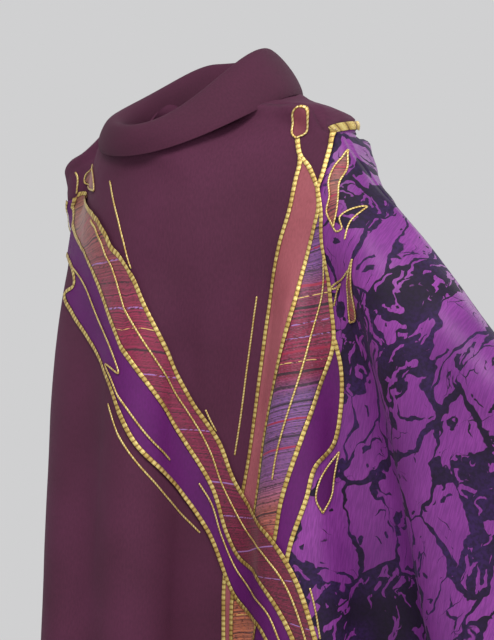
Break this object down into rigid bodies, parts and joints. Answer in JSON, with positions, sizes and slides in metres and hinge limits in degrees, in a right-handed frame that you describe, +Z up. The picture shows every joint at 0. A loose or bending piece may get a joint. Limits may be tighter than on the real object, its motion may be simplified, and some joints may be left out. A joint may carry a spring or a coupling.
{
  "type": "chasuble",
  "caption": "Wide sleeveless priest's vestment with a soft rolled collar, patterned side panels and gold-edged bands crossing the front.",
  "frame": {"origin": "middle of the neckline, level with the neck ends of the two shoulder seams", "axes": "+Z up, the front faces -Y, +X is the wearer's left"},
  "size_m": [1.0823, 0.5558, 1.3501],
  "materials": {
    "plum_cloth": "smooth matt wool weave",
    "jacquard": "satin jacquard",
    "lining_cloth": "smooth matt lining",
    "gold_braid": "twisted metallic braid",
    "gold_cord": "couched metallic cord",
    "purple_applique": "matt satin weave",
    "striped_brocade": "striped brocade weave",
    "rose_applique": "fine matt weave"
  },
  "bodies": {
    "root": {"back_body_panel": "plum_cloth", "back_hem_facing": "lining_cloth", "back_seam_tape": "lining_cloth", "back_side_panel": "jacquard", "bridge_centre_cord": "gold_cord", "bridge_left_braid": "gold_braid", "bridge_right_braid": "gold_braid", "brocade_centre_cord": "gold_cord", "brocade_left_braid": "gold_braid", "brocade_right_braid": "gold_braid", "chest_cord": "gold_cord", "collar_interlining": "lining_cloth", "collar_outer_cloth": "plum_cloth", "collar_under_cloth": "lining_cloth", "crescent_leaf": "rose_applique", "crescent_left_cord": "gold_cord", "crescent_right_cord": "gold_cord", "fork_cord": "gold_cord", "front_body_panel": "plum_cloth", "front_hem_facing": "lining_cloth", "front_seam_tape": "lining_cloth", "front_side_panel": "jacquard", "left_brocade_band": "striped_brocade", "left_wave": "purple_applique", "left_wave_braid": "gold_braid", "loop_cord": "gold_cord", "low_cord": "gold_cord", "lower_plum_cord": "gold_cord", "lower_wave_cord": "gold_cord", "right_brocade_band": "striped_brocade", "right_wave": "purple_applique", "rose_band": "rose_applique", "rose_braid": "gold_braid", "rose_stem_braid": "gold_braid", "rose_tablet": "rose_applique", "seam_braid": "gold_braid", "short_cord": "gold_cord", "shoulder_cord": "gold_cord", "shoulder_leaf": "rose_applique", "shoulder_leaf_cord": "gold_cord", "shoulder_tape_left": "lining_cloth", "shoulder_tape_right": "lining_cloth", "small_leaf": "rose_applique", "small_leaf_left_cord": "gold_cord", "small_leaf_right_cord": "gold_cord", "tablet_cord": "gold_cord", "teardrop_leaf": "purple_applique", "teardrop_left_cord": "gold_cord", "teardrop_right_cord": "gold_cord", "upper_plum_cord": "gold_cord", "upper_wave_cord": "gold_cord", "wave_braid": "gold_braid"}
  },
  "joints": []
}
